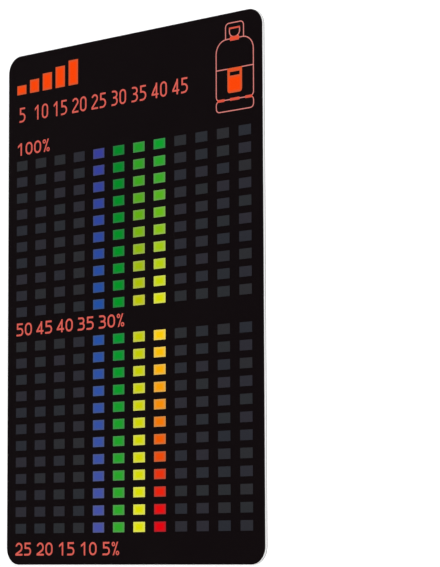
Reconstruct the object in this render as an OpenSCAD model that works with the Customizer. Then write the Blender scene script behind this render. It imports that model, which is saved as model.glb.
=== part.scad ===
/* [Card] */
// Width of the card, across the cell columns
card_w = 70; // [60:1:100]
// Length of the card, from the title end to the foot
card_l = 110; // [95:1:160]
// Radius of the four die-cut corners
corner_r = 3.5; // [1:0.1:6]

/* [Layers] */
// Thickness of the magnetic foil that grips the steel wall of the bottle
foil_t = 0.25; // [0.1:0.05:1]
// Thickness of the pale base sheet
base_t = 0.45; // [0.2:0.05:1]
// Thickness of the black face film
film_t = 0.1; // [0.06:0.01:0.3]
// Thickness of the colour-changing ink in the cells
cell_t = 0.05; // [0.02:0.01:0.1]
// Thickness of the orange ink
ink_t = 0.06; // [0.02:0.01:0.1]

/* [Cell grid] */
// Number of cell columns
columns = 12; // [9:1:14]
// Number of rows in the upper block
upper_rows = 10; // [5:1:12]
// Number of rows in the lower block
lower_rows = 12; // [5:1:14]
// First column that shows a colour, counted from the left
first_lit_column = 5; // [1:1:6]
// Width of a cell
cell_w = 3.1; // [2:0.1:4]
// Height of a cell
cell_h = 2.06; // [1.4:0.01:2.6]
// Margin from the left edge of the card to the first column
grid_left = 2.6; // [2:0.1:6]
// Margin from the last column to the right edge of the card
grid_right = 2.9; // [2:0.1:6]
// Depth of the title area, from the top edge to the first row
head_h = 23.15; // [22:0.05:30]
// Gap between the two blocks of rows
middle_h = 5.45; // [4.5:0.05:8]
// Depth of the foot, from the last row to the bottom edge
foot_h = 6.6; // [5:0.1:10]

/* [Level mark] */
// Number of rising bars in the mark at the top left
mark_bars = 5; // [3:1:7]
// Width of the whole mark
mark_w = 17.9; // [12:0.1:24]
// Height of the tallest bar
mark_h = 5.4; // [3:0.1:7]
// Height of the shortest bar
mark_low = 2; // [1:0.1:3]
// Gap between two bars
mark_gap = 1.1; // [0.5:0.1:1.4]
// Distance of the mark from the top edge
mark_top = 3.1; // [2:0.1:4]

/* [Numbers] */
// Height of the numbers over the columns
number_h = 3.2; // [2:0.1:4]
// Width of one digit there
number_w = 1.8; // [1.4:0.05:2.1]
// Width of the line that draws them
number_line = 0.36; // [0.25:0.01:0.5]
// Distance of their tops from the top edge
number_top = 11.4; // [11:0.1:13]
// Step from one column's number to the next
number_step = 5; // [1:1:5]
// Height of the level legends
legend_h = 2.75; // [1.8:0.05:3]
// Width of one digit there
legend_w = 2.05; // [1.4:0.05:2.3]
// Width of the line that draws them
legend_line = 0.38; // [0.25:0.01:0.45]
// Space between two digits of one number
digit_gap = 0.5; // [0.3:0.05:0.8]
// Length of the legend between the blocks
middle_legend_w = 31; // [28:0.1:45]
// Length of the legend at the foot
bottom_legend_w = 29.6; // [28:0.1:45]
// Distance of the first legend from the first row
legend_gap = 1.25; // [0.5:0.05:2]

/* [Bottle pictogram] */
// Width of the foot ring
bottle_w = 9.7; // [6:0.1:12]
// Height of the foot ring
ring_h = 2.5; // [1.5:0.1:4]
// Width of the body
body_w = 9.7; // [6:0.1:12]
// Height of the body
body_h = 12.5; // [10:0.1:13.5]
// Radius of the shoulders
shoulder_r = 2.8; // [1:0.1:4]
// Width of the collar
collar_w = 4.8; // [3.6:0.1:6]
// Height of the collar
collar_h = 3.4; // [2.8:0.1:4]
// Width of the valve cap in the collar
cap_w = 2.8; // [1.6:0.1:3]
// Height of the cap
cap_h = 2.05; // [1.4:0.05:2.4]
// Height of the filled bar that tops the cap
cap_bar_h = 0.35; // [0.2:0.05:0.6]
// Width of the filled neck under the cap
neck_w = 2.3; // [1.2:0.1:3]
// Height of the neck
neck_h = 0.9; // [0.5:0.05:1.5]
// Width of the middle one of the three lugs on the foot ring
lug_w = 2.4; // [1:0.1:2.6]
// Width of each outer lug, which is seen at a slant
side_lug_w = 1.8; // [0.8:0.1:2.4]
// Height of a lug
lug_h = 0.55; // [0.3:0.05:1]
// Width of the filled patch on the body
patch_w = 3.7; // [3:0.1:5]
// Height of the filled patch, with the stretch of the seam that it covers
patch_h = 5.05; // [3:0.05:5.5]
// Width of the slot in the patch
slot_w = 2.5; // [1:0.1:2.6]
// Height of the slot
slot_h = 0.75; // [0.3:0.05:1]
// Distance of the slot from the top of the patch
slot_drop = 0.8; // [0.3:0.05:1]
// Width of the lines
bottle_line = 0.2; // [0.15:0.01:0.4]
// Distance of the collar from the top edge
bottle_top = 2; // [1.5:0.1:2.5]
// Distance of the foot ring from the right edge
bottle_right = 2.1; // [1.5:0.1:5]

/* [Hidden] */
// Heights at which the layers start, with both inks on the face film
base_z = foil_t;
film_z = base_z + base_t;
ink_z = film_z + film_t;

// The grid fills what the margins, the title area, the middle gap and the foot leave
left = -card_w / 2;
top = card_l / 2;
column_pitch = (card_w - grid_left - grid_right - cell_w) / (columns - 1);
row_pitch = (card_l - head_h - middle_h - foot_h - 2 * cell_h) / (upper_rows + lower_rows - 2);
grid_x = left + grid_left;
first_column_x = grid_x + cell_w / 2;
upper_first_y = top - head_h - cell_h / 2;
upper_end_y = upper_first_y - (upper_rows - 1) * row_pitch - cell_h / 2;
lower_first_y = upper_end_y - middle_h - cell_h / 2;
lower_end_y = lower_first_y - (lower_rows - 1) * row_pitch - cell_h / 2;

// Colours down each lit column: the place in the block from 0 to 1, then red, green and blue
dark_cell = [[0, [0.17, 0.17, 0.2]]];
upper_ramps = [
    [[0, [0.22, 0.25, 0.59]], [1, [0.15, 0.31, 0.61]]],
    [[0, [0.02, 0.52, 0.16]], [1, [0.02, 0.56, 0.15]]],
    [[0, [0.13, 0.6, 0.16]], [0.45, [0.39, 0.67, 0.09]], [1, [0.72, 0.75, 0.04]]],
    [[0, [0.07, 0.62, 0.18]], [0.45, [0.41, 0.71, 0.11]], [1, [0.84, 0.85, 0.04]]],
];
lower_ramps = [
    [[0, [0.16, 0.31, 0.64]], [1, [0.28, 0.32, 0.64]]],
    [[0, [0.03, 0.57, 0.18]], [1, [0.2, 0.65, 0.16]]],
    [[0, [0.75, 0.79, 0.02]], [1, [0.86, 0.87, 0.04]]],
    [[0, [0.97, 0.78, 0.03]], [0.27, [0.97, 0.62, 0.02]],
     [0.6, [0.93, 0.33, 0.05]], [1, [0.89, 0.01, 0.09]]],
];
foil_colour = [0.62, 0.62, 0.62];
base_colour = [0.93, 0.93, 0.92];
film_colour = [0.075, 0.055, 0.06];
ink_colour = [1, 0.3, 0.11];

// Numbers of the three legends: percent of a full bottle
full_levels = ["100%"];
middle_levels = ["50", "45", "40", "35", "30%"];
bottom_levels = ["25", "20", "15", "10", "5%"];

// A round stretch of print strays no more than this from a true curve
print_error = 0.02;

// Numbers stop one digit short of the pictogram
bottle_x = card_w / 2 - bottle_right - bottle_w / 2;
last_number_x = bottle_x - bottle_w / 2 - 2 * number_w - digit_gap;
numbered_columns = floor((last_number_x - first_column_x) / column_pitch) + 1;

function two_digits(n) = str(n < 10 ? "0" : "", n);
function upper_name(column) = str("upper_cells_", two_digits(column + 1));
function lower_name(column) = str("lower_cells_", two_digits(column + 1));
function column_x(column) = first_column_x + column * column_pitch;

// The colour of a ramp at a place from 0 to 1
function channel(ramp, place, i) = lookup(place, [for (stop = ramp) [stop[0], stop[1][i]]]);
function ramp_colour(ramp, place) = [for (i = [0:2]) channel(ramp, place, i)];
function column_ramp(ramps, column) =
    let (lit = column + 1 - first_lit_column) lit >= 0 && lit < len(ramps) ? ramps[lit] : dark_cell;

// Points along an arc, first to last, or its centre alone where the radius has run out
function arc(centre, radius, from, to) =
    radius <= 0 ? [centre] :
    let (step = 2 * acos(max(1 - print_error / radius, 0)), steps = ceil(abs(to - from) / step))
    [for (i = [0:steps]) let (a = from + (to - from) * i / steps) centre + radius * [cos(a), sin(a)]];

// The die cut that all three layers share
module card_outline() {
    union() {
        square([card_w - 2 * corner_r, card_l], center = true);
        square([card_w, card_l - 2 * corner_r], center = true);
        for (x = [-1, 1], y = [-1, 1])
            translate([x * (card_w / 2 - corner_r), y * (card_l / 2 - corner_r)])
                circle(r = corner_r, $fn = 48);
    }
}

module card_layer(z, t) {
    translate([0, 0, z]) linear_extrude(t) card_outline();
}

// One column of printed cells, each a field of one colour
module cell_column(column, rows, first_y, ramp) {
    for (row = [0:rows - 1])
        color(ramp_colour(ramp, row / (rows - 1)))
            translate([column_x(column), first_y - row * row_pitch, ink_z])
                linear_extrude(cell_t)
                    square([cell_w, cell_h], center = true);
}

// Printed box that stands centred on the origin's x, with one corner radius above and one below
module soft_box(w, h, top_r, bottom_r) {
    polygon(concat(
        arc([w / 2 - bottom_r, bottom_r], bottom_r, -90, 0),
        arc([w / 2 - top_r, h - top_r], top_r, 0, 90),
        arc([top_r - w / 2, h - top_r], top_r, 90, 180),
        arc([bottom_r - w / 2, bottom_r], bottom_r, 180, 270)
    ));
}

// Line of one width round a soft_box, inside its outline
module soft_box_line(w, h, top_r, bottom_r, line) {
    difference() {
        soft_box(w, h, top_r, bottom_r);
        translate([0, line])
            soft_box(w - 2 * line, h - 2 * line, max(top_r - line, 0), max(bottom_r - line, 0));
    }
}

// Straight stroke between two points, with square ends
module bar(from, to, line) {
    along = (to - from) / norm(to - from);
    across = [-along[1], along[0]] * line / 2;
    polygon([from - across, to - across, to + across, from + across]);
}

// Round stroke about a centre, at the radius of its middle line
module bend(centre, radius, from, to, line) {
    polygon(concat(
        arc(centre, radius + line / 2, from, to),
        arc(centre, radius - line / 2, to, from)
    ));
}

// Closed oval stroke that fills a box
module oval(w, h, line) {
    outer = w / 2;
    inner = outer - line;
    difference() {
        polygon(concat(arc([outer, h - outer], outer, 0, 180), arc([outer, outer], outer, 180, 360)));
        polygon(concat(arc([outer, h - outer], inner, 0, 180), arc([outer, outer], inner, 180, 360)));
    }
}

// Right-hand bowl of a digit between two heights, with level strokes that start at two places
module bowl(w, low, high, low_start, high_start, line) {
    radius = (high - low) / 2;
    centre = [w - radius, low + radius];
    polygon(concat(
        [[low_start, low]], arc(centre, radius, -90, 90), [[high_start, high]],
        [[high_start, high - line]], arc(centre, radius - line, 90, -90), [[low_start, low + line]]
    ));
}

module digit_one(w, h, line) {
    stem_x = 0.6 * w;
    translate([stem_x - line / 2, 0]) square([line, h]);
    intersection() {
        bar([stem_x, h - line / 2], [0, 0.72 * h - line / 2], line);
        translate([0.12 * w, 0]) square([stem_x - 0.12 * w, h]);
    }
}

module digit_two(w, h, line) {
    turn = -52;
    middle_r = (w - line) / 2;
    centre = [w / 2, h - w / 2];
    leave = centre + middle_r * [cos(turn), sin(turn)];
    foot = [0, line / 2];
    lap = (leave - foot) / norm(leave - foot) * line / 2;
    bend(centre, middle_r, turn, 165, line);
    intersection() {
        bar(leave + lap, foot, line);
        square([w, h]);
    }
    square([w, line]);
}

module digit_three(w, h, line) {
    waist = 0.53 * h;
    bowl(0.96 * w, waist - line / 2, h, 0.3 * w, 0.1 * w, line);
    bowl(w, 0, waist + line / 2, 0.04 * w, 0.3 * w, line);
}

module digit_four(w, h, line) {
    stem_x = 0.72 * w;
    cross_y = 0.25 * h;
    translate([stem_x - line / 2, 0]) square([line, h]);
    translate([0, cross_y - line / 2]) square([w, line]);
    intersection() {
        bar([stem_x + line / 2, h], [0, cross_y - line / 2], line);
        translate([0, cross_y - line / 2]) square([stem_x + line / 2, h - cross_y + line / 2]);
    }
}

module digit_five(w, h, line) {
    waist = 0.58 * h;
    stem_x = 0.08 * w;
    bowl(w, 0, waist + line / 2, 0.02 * w, stem_x, line);
    translate([stem_x, waist - line / 2]) square([line, h - waist + line / 2]);
    translate([stem_x, h - line]) square([0.84 * w, line]);
}

module percent_sign(w, h, line) {
    ring_w = 0.46 * w;
    intersection() {
        bar([0.14 * w, -line], [0.86 * w, h + line], 0.8 * line);
        square([w, h]);
    }
    translate([0, h - ring_w]) oval(ring_w, ring_w, 0.7 * line);
    translate([w - ring_w, 0]) oval(ring_w, ring_w, 0.7 * line);
}

module glyph(letter, w, h, line) {
    if (letter == "0") oval(w, h, line);
    if (letter == "1") digit_one(w, h, line);
    if (letter == "2") digit_two(w, h, line);
    if (letter == "3") digit_three(w, h, line);
    if (letter == "4") digit_four(w, h, line);
    if (letter == "5") digit_five(w, h, line);
    if (letter == "%") percent_sign(w, h, line);
}

// One number, from its lower left corner
module number(digits, w, h, line) {
    for (i = [0:len(digits) - 1])
        translate([i * (w + digit_gap), 0]) glyph(digits[i], w, h, line);
}

function number_width(digits, w) = len(digits) * (w + digit_gap) - digit_gap;
function numbers_width(levels, count) =
    count == 0 ? 0 : numbers_width(levels, count - 1) + number_width(levels[count - 1], legend_w);

// A row of level numbers, spread over a length that starts in line with the first column
module legend(levels, length, y) {
    gap = (length - numbers_width(levels, len(levels))) / max(len(levels) - 1, 1);
    color(ink_colour)
        translate([grid_x, y, ink_z])
            linear_extrude(ink_t)
                for (i = [0:len(levels) - 1])
                    translate([numbers_width(levels, i) + i * gap, 0])
                        number(levels[i], legend_w, legend_h, legend_line);
}

module magnet_foil() {
    color(foil_colour) card_layer(0, foil_t);
}

module base_sheet() {
    color(base_colour) card_layer(base_z, base_t);
}

// The film is black, because the colour of the cells only shows on a black ground
module face_film() {
    color(film_colour) card_layer(film_z, film_t);
}

module upper_cells(column) {
    cell_column(column, upper_rows, upper_first_y, column_ramp(upper_ramps, column));
}

module lower_cells(column) {
    cell_column(column, lower_rows, lower_first_y, column_ramp(lower_ramps, column));
}

// Bars that rise to the right, as on a level gauge
module level_mark() {
    bar_w = (mark_w - (mark_bars - 1) * mark_gap) / mark_bars;
    rise = (mark_h - mark_low) / (mark_bars - 1);
    color(ink_colour)
        translate([grid_x, top - mark_top - mark_h, ink_z])
            linear_extrude(ink_t)
                for (i = [0:mark_bars - 1])
                    translate([i * (bar_w + mark_gap), 0]) square([bar_w, mark_low + i * rise]);
}

// One number over each column, up to the pictogram
module column_numbers() {
    color(ink_colour)
        translate([0, top - number_top - number_h, ink_z])
            linear_extrude(ink_t)
                for (column = [0:numbered_columns - 1]) {
                    digits = str((column + 1) * number_step);
                    translate([column_x(column) - number_width(digits, number_w) / 2, 0])
                        number(digits, number_w, number_h, number_line);
                }
}

module full_legend() {
    legend(full_levels, 0, top - head_h + legend_gap);
}

module middle_legend() {
    legend(middle_levels, middle_legend_w, upper_end_y - (middle_h + legend_h) / 2);
}

module bottom_legend() {
    legend(bottom_levels, bottom_legend_w, lower_end_y - (foot_h + legend_h) / 2);
}

// Heights in the pictogram, measured down from the top edge of the card
body_top = bottle_top + collar_h - bottle_line;
body_end = body_top + body_h;
seam_drop = body_top + body_h / 2;
neck_end = body_top + (bottle_line + neck_h) / 2;
cap_end = neck_end - neck_h + bottle_line;
ring_end = body_end - bottle_line + ring_h;
lug_end = body_end + (lug_h - bottle_line) / 2;
slot_end = seam_drop - bottle_line + slot_drop + slot_h;

// Places what is drawn on y = 0 at a distance below the top edge, over the pictogram's middle
module in_pictogram(drop) {
    translate([bottle_x, top - drop]) children();
}

// Box with its lower edge at a distance below the top edge, on the pictogram's middle or aside of it
module pictogram_box(w, h, drop, aside = 0) {
    in_pictogram(drop) translate([aside - w / 2, 0]) square([w, h]);
}

// Lines of the body with its seam, of the collar, the valve cap in it and the foot ring
module bottle_lines() {
    ring_r = 0.9;
    heel_r = 1;
    collar_r = 0.9;
    in_pictogram(body_end) soft_box_line(body_w, body_h, shoulder_r, heel_r, bottle_line);
    pictogram_box(body_w, bottle_line, seam_drop);
    in_pictogram(body_top + bottle_line) soft_box_line(collar_w, collar_h, collar_r, 0, bottle_line);
    in_pictogram(cap_end) soft_box_line(cap_w, cap_h, 0, cap_w / 2 - bottle_line, bottle_line);
    in_pictogram(ring_end) soft_box_line(bottle_w, ring_h, ring_r, ring_r, bottle_line);
}

// Bar on the valve cap, neck of the valve, and the lugs that join the body and the foot ring
module small_fields() {
    lug_margin = 0.4;
    lug_step = (body_w - side_lug_w) / 2 - lug_margin;
    pictogram_box(cap_w, cap_bar_h, cap_end - cap_h + cap_bar_h);
    pictogram_box(neck_w, neck_h, neck_end);
    pictogram_box(lug_w, lug_h, lug_end);
    for (side = [-1, 1]) pictogram_box(side_lug_w, lug_h, lug_end, side * lug_step);
}

// The small card on the bottle, which hangs from the top of the seam
module patch_outline() {
    patch_r = 0.6;
    in_pictogram(seam_drop - bottle_line + patch_h) soft_box(patch_w, patch_h, 0, patch_r);
}

// The lines stop where a field of ink starts
module bottle_outline() {
    color(ink_colour)
        translate([0, 0, ink_z])
            linear_extrude(ink_t)
                difference() {
                    bottle_lines();
                    small_fields();
                    patch_outline();
                }
}

module bottle_fields() {
    color(ink_colour) translate([0, 0, ink_z]) linear_extrude(ink_t) small_fields();
}

// The ink of that card leaves a slot free near its top
module bottle_patch() {
    color(ink_colour)
        translate([0, 0, ink_z])
            linear_extrude(ink_t)
                difference() {
                    patch_outline();
                    pictogram_box(slot_w, slot_h, slot_end);
                }
}

magnet_foil();
base_sheet();
face_film();
for (column = [0:columns - 1]) {
    upper_cells(column);
    lower_cells(column);
}
level_mark();
column_numbers();
full_legend();
middle_legend();
bottom_legend();
bottle_outline();
bottle_fields();
bottle_patch();
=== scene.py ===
import math

import bmesh
import bpy
from mathutils import Matrix, Vector


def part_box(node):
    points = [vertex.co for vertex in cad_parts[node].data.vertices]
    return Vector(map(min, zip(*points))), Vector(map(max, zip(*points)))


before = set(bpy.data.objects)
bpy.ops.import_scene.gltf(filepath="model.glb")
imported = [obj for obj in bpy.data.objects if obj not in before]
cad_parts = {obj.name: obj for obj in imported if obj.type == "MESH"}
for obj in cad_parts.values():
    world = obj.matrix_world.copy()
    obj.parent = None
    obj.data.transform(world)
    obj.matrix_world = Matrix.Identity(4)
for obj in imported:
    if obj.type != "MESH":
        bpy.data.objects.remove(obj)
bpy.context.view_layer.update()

# The camera stands to the right of the card and looks down on it as it lies on a table.
# Its lens is raised in its mount, which keeps the long sides of the card nearly upright.
MM = 0.001
eye = Vector((290.14, -53.04, 328.68)) * MM
aim = Vector((23.94, -16.3, 0.8)) * MM
up_the_card = Vector((0, 1, 0))
camera_roll = math.radians(0.234)
forward = (aim - eye).normalized()
level_right = forward.cross(up_the_card).normalized()
level_up = level_right.cross(forward)
camera_up = level_up * math.cos(camera_roll) + level_right * math.sin(camera_roll)
camera_right = forward.cross(camera_up)
camera_data = bpy.data.cameras.new("camera")
camera_data.sensor_width = 36
camera_data.lens = 135.82
camera_data.shift_y = 0.15
camera_data.clip_start = 0.01
camera = bpy.data.objects.new("camera", camera_data)
camera.matrix_world = Matrix((camera_right, camera_up, -forward)).transposed().to_4x4()
camera.location = eye
bpy.context.collection.objects.link(camera)
bpy.context.scene.camera = camera
bpy.context.scene.view_settings.view_transform = "Standard"

# The studio is a sheet of white paper that lies flat under the card and sweeps up all round it.
# The paper is lit a little from behind, and more where it is far, so that it looks evenly white.
# Round the card that light is weak, and the card's own shadow stays on the paper.
sweep_flat = 1600
sweep_rise = 900
sweep_steps = 12
sweep_sides = 96
sweep = bmesh.new()
centre = sweep.verts.new((0, 0, 0))
bends = [math.pi / 2 * step / sweep_steps for step in range(sweep_steps + 1)]
turns = [2 * math.pi * side / sweep_sides for side in range(sweep_sides)]
rings = []
for bend in bends:
    radius = (sweep_flat + sweep_rise * math.sin(bend)) * MM
    height = sweep_rise * (1 - math.cos(bend)) * MM
    ring = [(radius * math.cos(turn), radius * math.sin(turn), height) for turn in turns]
    rings.append([sweep.verts.new(point) for point in ring])
for side in range(sweep_sides):
    after = (side + 1) % sweep_sides
    sweep.faces.new((centre, rings[0][side], rings[0][after]))
    for inner, outer in zip(rings, rings[1:]):
        sweep.faces.new((inner[side], outer[side], outer[after], inner[after])).smooth = True
sweep_mesh = bpy.data.meshes.new("studio_sweep")
sweep.to_mesh(sweep_mesh)
sweep.free()
studio_sweep = bpy.data.objects.new("studio_sweep", sweep_mesh)
bpy.context.collection.objects.link(studio_sweep)


def paint(red, green, blue):
    """A colour as it is picked on a screen, from 0 to 255, in the linear form that a shader takes."""
    shares = [channel / 255 for channel in (red, green, blue)]
    return (*[((s + 0.055) / 1.055) ** 2.4 if s > 0.04045 else s / 12.92 for s in shares], 1)


class Shade:
    """A socket in a material. A sum on it adds the Math or Vector Math node that works it out."""

    def __init__(self, socket):
        self.socket = socket

    def node(self, kind, settings, inputs, output):
        """Adds a node of a kind: its settings first, then the values or links of its sockets."""
        tree = self.socket.id_data
        made = tree.nodes.new(kind)
        for name, setting in settings.items():
            if name == "stops":
                while len(made.color_ramp.elements) < len(setting):
                    made.color_ramp.elements.new(1)
                for element, (position, colour) in zip(made.color_ramp.elements, setting):
                    element.position = position
                    element.color = colour
            else:
                setattr(made, name, setting)
        sockets = {socket.identifier: socket for socket in made.inputs}
        for name, value in inputs.items():
            if isinstance(value, Shade):
                tree.links.new(value.socket, sockets[name])
            elif sockets[name].type == "VECTOR" and isinstance(value, (int, float)):
                sockets[name].default_value = (value, value, value)
            else:
                sockets[name].default_value = value
        return next((Shade(s) for s in made.outputs if s.identifier == output), None)

    def sum(self, operation, first, second):
        shades = [value for value in (first, second) if isinstance(value, Shade)]
        vectors = any(shade.socket.type == "VECTOR" for shade in shades)
        kind, result = ("ShaderNodeVectorMath", "Vector") if vectors else ("ShaderNodeMath", "Value")
        inputs = {result: first, result + "_001": second}
        return self.node(kind, {"operation": operation}, inputs, result)

    def __add__(self, other):
        return self.sum("ADD", self, other)

    def __radd__(self, other):
        return self.sum("ADD", other, self)

    def __sub__(self, other):
        return self.sum("SUBTRACT", self, other)

    def __rsub__(self, other):
        return self.sum("SUBTRACT", other, self)

    def __mul__(self, other):
        return self.sum("MULTIPLY", self, other)

    def __rmul__(self, other):
        return self.sum("MULTIPLY", other, self)

    def __truediv__(self, other):
        return self.sum("DIVIDE", self, other)

    def __rtruediv__(self, other):
        return self.sum("DIVIDE", other, self)

    def floor(self):
        return self.sum("FLOOR", self, 0)

    def smaller(self, other):
        return self.sum("MINIMUM", self, other)

    def bigger(self, other):
        return self.sum("MAXIMUM", self, other)

    def across_and_up(self):
        """The two measures of a place on the card's face."""
        return [self.node("ShaderNodeSeparateXYZ", {}, {"Vector": self}, axis) for axis in "XY"]

    def spread(self, start, end, low, high, easing="LINEAR"):
        """Carries the stretch from start to end over to the one from low to high, and stops there."""
        ends = {"Value": self, "From Min": start, "From Max": end, "To Min": low, "To Max": high}
        return self.node("ShaderNodeMapRange", {"interpolation_type": easing}, ends, "Result")

    def mix(self, first, second, share):
        """The colour between two others: all of the first where share is 0."""
        ends = {"Factor_Float": share, "A_Color": first, "B_Color": second}
        return self.node("ShaderNodeMix", {"data_type": "RGBA"}, ends, "Result_Color")

    def noise(self, grain, detail, roughness=0.5):
        """Soft random patches from 0 to 1, grain millimetres across, where self is the place."""
        inputs = {"Vector": self, "Scale": 1 / grain, "Detail": detail, "Roughness": roughness}
        return self.node("ShaderNodeTexNoise", {}, inputs, "Fac")

    def bump(self, depth):
        """Relief of a depth in millimetres, where self is the height from 0 to 1."""
        inputs = {"Height": self, "Strength": 1, "Distance": depth * MM}
        return self.node("ShaderNodeBump", {}, inputs, "Normal")


def blank(name):
    """A new material, and the place on the piece in millimetres."""
    material = bpy.data.materials.new(name)
    material.use_nodes = True
    material.node_tree.nodes.clear()
    return material, Shade(material.node_tree.nodes.new("ShaderNodeTexCoord").outputs["Object"]) / MM


paper_white = paint(238, 238, 238)
near_glow = 0.25
far_glow = 1
glow_starts = 200
glow_full = 600
material, place = blank("studio_paper")
ways = ("Is Camera Ray", "Is Glossy Ray", "Is Transmission Ray")
camera_ray, glossy_ray, clear_ray = [place.node("ShaderNodeLightPath", {}, {}, way) for way in ways]
away = place.node("ShaderNodeVectorMath", {"operation": "LENGTH"}, {"Vector": place}, "Value")
seen_glow = away.spread(glow_starts, glow_full, near_glow, far_glow)
paper_glow = camera_ray * seen_glow + glossy_ray.bigger(clear_ray) * near_glow
matte = place.node("ShaderNodeBsdfDiffuse", {}, {"Color": paper_white}, "BSDF")
glow = place.node("ShaderNodeEmission", {}, {"Strength": 1}, "Emission")
glowing = place.node("ShaderNodeAddShader", {}, {"Shader": matte, "Shader_001": glow}, "Shader")
looks = {"Fac": paper_glow, "Shader": matte, "Shader_001": glowing}
paper = place.node("ShaderNodeMixShader", {}, looks, "Shader")
place.node("ShaderNodeOutputMaterial", {}, {"Surface": paper}, None)
sweep_mesh.materials.append(material)

# Two wide soft boxes hang on the camera's side, where the matte face doesn't mirror them.
# The air of the studio is pale, and lights all sides of the card a little.
soft_box_w = 900
soft_boxes = {"key_box": (Vector((750, -350, 1350)), 18.5), "fill_box": (Vector((500, 1000, 900)), 7.5)}
for name, (stand, watts) in soft_boxes.items():
    lamp_data = bpy.data.lights.new(name, "AREA")
    lamp_data.size = soft_box_w * MM
    lamp_data.energy = watts
    lamp = bpy.data.objects.new(name, lamp_data)
    lamp.location = stand * MM
    lamp.rotation_mode = "QUATERNION"
    lamp.rotation_quaternion = (-stand).to_track_quat("-Z", "Y")
    bpy.context.collection.objects.link(lamp)
air_white = paint(255, 255, 255)
air_glow = 0.2
world = bpy.data.worlds.new("studio_air")
world.use_nodes = True
world.node_tree.nodes["Background"].inputs["Color"].default_value = air_white
world.node_tree.nodes["Background"].inputs["Strength"].default_value = air_glow
bpy.context.scene.world = world

# The back is a thin sheet of rubber that is filled with magnet powder and rolled flat.
# It is matte grey, with the fine grain of the powder, and holds the card on a steel wall.
dark_powder = paint(160, 160, 161)
pale_powder = paint(176, 176, 175)


def finish(place, colour, roughness, gloss, relief):
    """Ends a material in one shader, whose sockets take plain values or what the nodes work out."""
    inputs = {"Base Color": colour, "Roughness": roughness, "Specular IOR Level": gloss, "Normal": relief}
    shader = place.node("ShaderNodeBsdfPrincipled", {}, inputs, "BSDF")
    place.node("ShaderNodeOutputMaterial", {}, {"Surface": shader}, None)


def dress(material, *names):
    """Gives solids that are carried over their finish."""
    for name in names:
        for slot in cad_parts[name].material_slots:
            slot.material = material


material, place = blank("magnet_foil")
powder = place.noise(grain=0.12, detail=3, roughness=0.6)
foil_grey = place.mix(dark_powder, pale_powder, powder)
finish(place, foil_grey, roughness=0.8, gloss=0.2, relief=powder.bump(depth=0.004))
dress(material, "magnet_foil")

# The core is a sheet of white plastic, glued to the foil and die-cut with it.
# Its edge shows as a pale line round the card, with faint marks of the cutting knife.
grooved_white = paint(232, 232, 231)
sheet_white = paint(242, 242, 242)
knife_stretch = Vector((1, 1, 0.1))
material, place = blank("base_sheet")
knife_marks = (place * knife_stretch).noise(grain=0.05, detail=2)
base_white = place.mix(grooved_white, sheet_white, knife_marks)
finish(place, base_white, roughness=0.55, gloss=0.3, relief=knife_marks.bump(depth=0.002))
dress(material, "base_sheet")

# The face is a plastic film that is dyed black, so that the colours of the cells show on it.
# It has a silky matte coat, a faint warm cast and the fine bumps of such a film.
deep_black = paint(7, 1, 3)
warm_black = paint(11, 4, 6)
smoothest = 0.42
silk_range = 0.1
material, place = blank("face_film")
silk = place.noise(grain=0.18, detail=3, roughness=0.6)
clouds = place.noise(grain=14, detail=2)
film_black = place.mix(deep_black, warm_black, clouds)
film_roughness = smoothest + silk * silk_range
finish(place, film_black, film_roughness, gloss=0.1, relief=silk.bump(depth=0.0015))
dress(material, "face_film")

# The cells are fields of heat-sensitive ink, screen printed on the film in columns.
# In most columns the ink is at rest, a dark blue grey that differs a little from cell to cell.
block_rows = {"upper": 10, "lower": 12}
cell_h = 2.06
dark_columns = (1, 2, 3, 4, 9, 10, 11, 12)
dark_colours = [(0, (40, 40, 43)), (0.3, (38, 41, 44)), (0.5, (37, 40, 47)),
                (0.8, (41, 39, 47)), (1, (39, 40, 45))]
dark_stops = [(at, paint(*colour)) for at, colour in dark_colours]
worn_grey = paint(52, 52, 57)
most_worn = 0.3


def row_of(y, name, rows):
    """The row that a place is in, from 0 at the top, and how far it is below that cell's top edge."""
    low, high = [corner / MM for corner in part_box(name)]
    step = (high.y - low.y - cell_h) / (rows - 1)
    half_gap = (step - cell_h) / 2
    steps_down = (high.y + half_gap - y) / step
    row = steps_down.floor()
    return row, (steps_down - row) * step - half_gap


for block, rows in block_rows.items():
    dark_names = [f"{block}_cells_{column:02d}" for column in dark_columns]
    column_step = (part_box(dark_names[1])[0].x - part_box(dark_names[0])[0].x) / MM
    material, place = blank(f"{block}_dark_cells")
    x, y = place.across_and_up()
    row, down = row_of(y, dark_names[0], rows)
    cell = place.node("ShaderNodeCombineXYZ", {}, {"X": (x / column_step).floor(), "Y": row}, "Vector")
    luck = cell.node("ShaderNodeTexWhiteNoise", {}, {"Vector": cell}, "Value")
    dark = luck.node("ShaderNodeValToRGB", {"stops": dark_stops}, {"Fac": luck}, "Color")
    ink_wave = place.noise(grain=0.4, detail=2)
    ink = place.mix(dark, worn_grey, ink_wave * most_worn)
    finish(place, ink, roughness=0.5, gloss=0.1, relief=ink_wave.bump(depth=0.002))
    dress(material, *dark_names)

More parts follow.
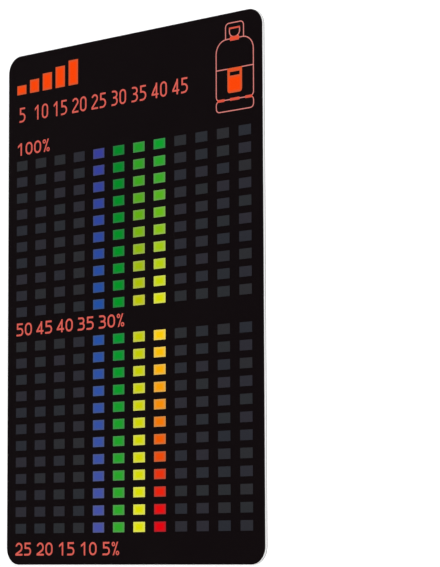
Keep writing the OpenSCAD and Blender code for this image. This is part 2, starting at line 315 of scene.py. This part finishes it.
# The lit cells step through the colours that the ink takes as the wall behind it warms.
# Each cell is one flat colour, which fades to its rim, where the ink thins out.
cell_colours = {
    "upper_cells_05": [(0, (55, 62, 152)), (0.5, (45, 69, 155)), (1, (33, 79, 161))],
    "upper_cells_06": [(0, (0, 133, 38)), (1, (0, 145, 37))],
    "upper_cells_07": [(0, (30, 153, 38)), (0.22, (61, 162, 28)),
                       (0.45, (99, 172, 16)), (1, (186, 194, 0))],
    "upper_cells_08": [(0, (10, 157, 43)), (0.22, (56, 168, 35)),
                       (0.45, (105, 183, 20)), (1, (215, 219, 0))],
    "lower_cells_05": [(0, (38, 80, 164)), (0.5, (54, 80, 161)), (1, (71, 81, 164))],
    "lower_cells_06": [(0, (0, 147, 44)), (0.27, (8, 151, 40)),
                       (0.6, (33, 160, 40)), (1, (48, 167, 40))],
    "lower_cells_07": [(0, (193, 201, 0)), (0.45, (207, 210, 0)), (1, (222, 223, 0))],
    "lower_cells_08": [(0, (250, 202, 0)), (0.27, (248, 158, 0)), (0.55, (239, 90, 0)),
                       (0.73, (233, 48, 8)), (0.88, (235, 12, 12)), (1, (227, 0, 14))],
}
side_rim_w = 1.1
end_rim_w = 0.75


def thin_paint(red, green, blue):
    """The paint of a colour where its ink is thin: a little lighter, and with much less hue."""
    hue_lost = 0.42
    lightening = 1.15
    brightness = 0.3 * red + 0.59 * green + 0.11 * blue
    grey = lightening * brightness
    return paint(*[channel + (grey - channel) * hue_lost for channel in (red, green, blue)])


def rim(*ways):
    """How near a place is to a rim, from 1 on it to 0. Each way to an edge is in widths of the rim."""
    nearest = ways[0]
    for way in ways[1:]:
        nearest = nearest.smaller(way)
    fall = nearest.spread(0, 1, 1, 0, easing="SMOOTHSTEP")
    return fall * fall


for name, cell_stops in cell_colours.items():
    rows = block_rows[name.split("_")[0]]
    low, high = [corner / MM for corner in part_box(name)]
    material, place = blank(name)
    x, y = place.across_and_up()
    row, down = row_of(y, name, rows)
    share_down = row / (rows - 1)
    inks = []
    for shade_of in (paint, thin_paint):
        stops = [(at, shade_of(*colour)) for at, colour in cell_stops]
        inks.append(row.node("ShaderNodeValToRGB", {"stops": stops}, {"Fac": share_down}, "Color"))
    sides = (x - low.x) / side_rim_w, (high.x - x) / side_rim_w
    ends = down / end_rim_w, (cell_h - down) / end_rim_w
    relief = place.noise(grain=0.4, detail=2).bump(depth=0.002)
    finish(place, place.mix(*inks, rim(*sides, *ends)), roughness=0.5, gloss=0.04, relief=relief)
    dress(material, name)

# The level mark is five rising bars, screen printed in orange ink.
# The ink lies thick on so broad a field and is a deep orange, which fades at the rims.
bars = 5
bar_gap = 1.1
bar_low = 2
field_rim_w = 0.9
deep_orange = (250, 62, 0), (253, 76, 8)
rim_orange = paint(208, 88, 50)


def orange_ink(name, thinnest, thickest):
    """A new material in orange ink, uneven as print is, with its place, its colour and its relief."""
    material, place = blank(name)
    ink_wave = place.noise(grain=0.3, detail=3)
    ink = place.mix(paint(*thinnest), paint(*thickest), ink_wave)
    return material, place, ink, ink_wave.bump(depth=0.003)


def dry(place, colour, relief):
    """Ends a material in orange ink, which dries dull."""
    finish(place, colour, roughness=0.5, gloss=0.05, relief=relief)


material, place, ink, relief = orange_ink("mark_ink", *deep_orange)
x, y = place.across_and_up()
low, high = [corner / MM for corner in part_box("level_mark")]
bar_step = (high.x - low.x + bar_gap) / bars
bar_rise = (high.y - low.y - bar_low) / (bars - 1)
bar = ((x - low.x) / bar_step).floor()
along = x - low.x - bar * bar_step
up = y - low.y
edges = along, bar_step - bar_gap - along, up, bar_low + bar * bar_rise - up
faded = rim(*[edge / field_rim_w for edge in edges])
dry(place, place.mix(ink, rim_orange, faded), relief)
dress(material, "level_mark")

# The numbers over the columns and between the blocks are drawn in the same ink.
# Their strokes are little more than rim, so they come out paler.
stroke_orange = (212, 91, 80), (222, 101, 90)
material, place, ink, relief = orange_ink("number_ink", *stroke_orange)
dry(place, ink, relief)
dress(material, "column_numbers", "full_legend", "middle_legend", "bottom_legend")

# The bottle over the last columns is drawn with one thin line of that ink.
# So thin a line takes the least ink, and is the palest.
line_orange = (212, 125, 118), (222, 135, 130)
material, place, ink, relief = orange_ink("line_ink", *line_orange)
dry(place, ink, relief)
dress(material, "bottle_outline")

# The bar on the valve's cap, the valve's neck and the lugs of the foot ring are narrow fields.
# Their ink thins out to the upper and lower rims, so the narrowest one comes out palest.
cap_bar_h = 0.35
neck_drop = 1.85
neck_h = 0.9
lug_h = 0.55
narrow_rim_orange = paint(210, 86, 70)
material, place, ink, relief = orange_ink("field_ink", *deep_orange)
x, y = place.across_and_up()
low, high = [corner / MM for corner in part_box("bottle_fields")]
fields = [
    (high.y - cap_bar_h / 2, cap_bar_h),
    (high.y - neck_drop - neck_h / 2, neck_h),
    (low.y + lug_h / 2, lug_h),
]
cap_way, neck_way, lug_way = [height / 2 - (y - middle).bigger(middle - y) for middle, height in fields]
faded = rim(cap_way.bigger(neck_way).bigger(lug_way) / field_rim_w)
dry(place, place.mix(ink, narrow_rim_orange, faded), relief)
dress(material, "bottle_fields")

# The card on the bottle is a broader field, with a slot left free of ink.
# It fades at its outer rim and round the slot.
slot_w = 2.5
slot_h = 0.75
slot_drop = 0.8
material, place, ink, relief = orange_ink("patch_ink", *deep_orange)
x, y = place.across_and_up()
low, high = [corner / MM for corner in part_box("bottle_patch")]
slot_x = (low.x + high.x) / 2
slot_y = high.y - slot_drop - slot_h / 2
beside = (x - slot_x).bigger(slot_x - x) - slot_w / 2
beyond = (y - slot_y).bigger(slot_y - y) - slot_h / 2
edges = x - low.x, high.x - x, y - low.y, high.y - y, beside.bigger(beyond)
faded = rim(*[edge / field_rim_w for edge in edges])
dry(place, place.mix(ink, rim_orange, faded), relief)
dress(material, "bottle_patch")
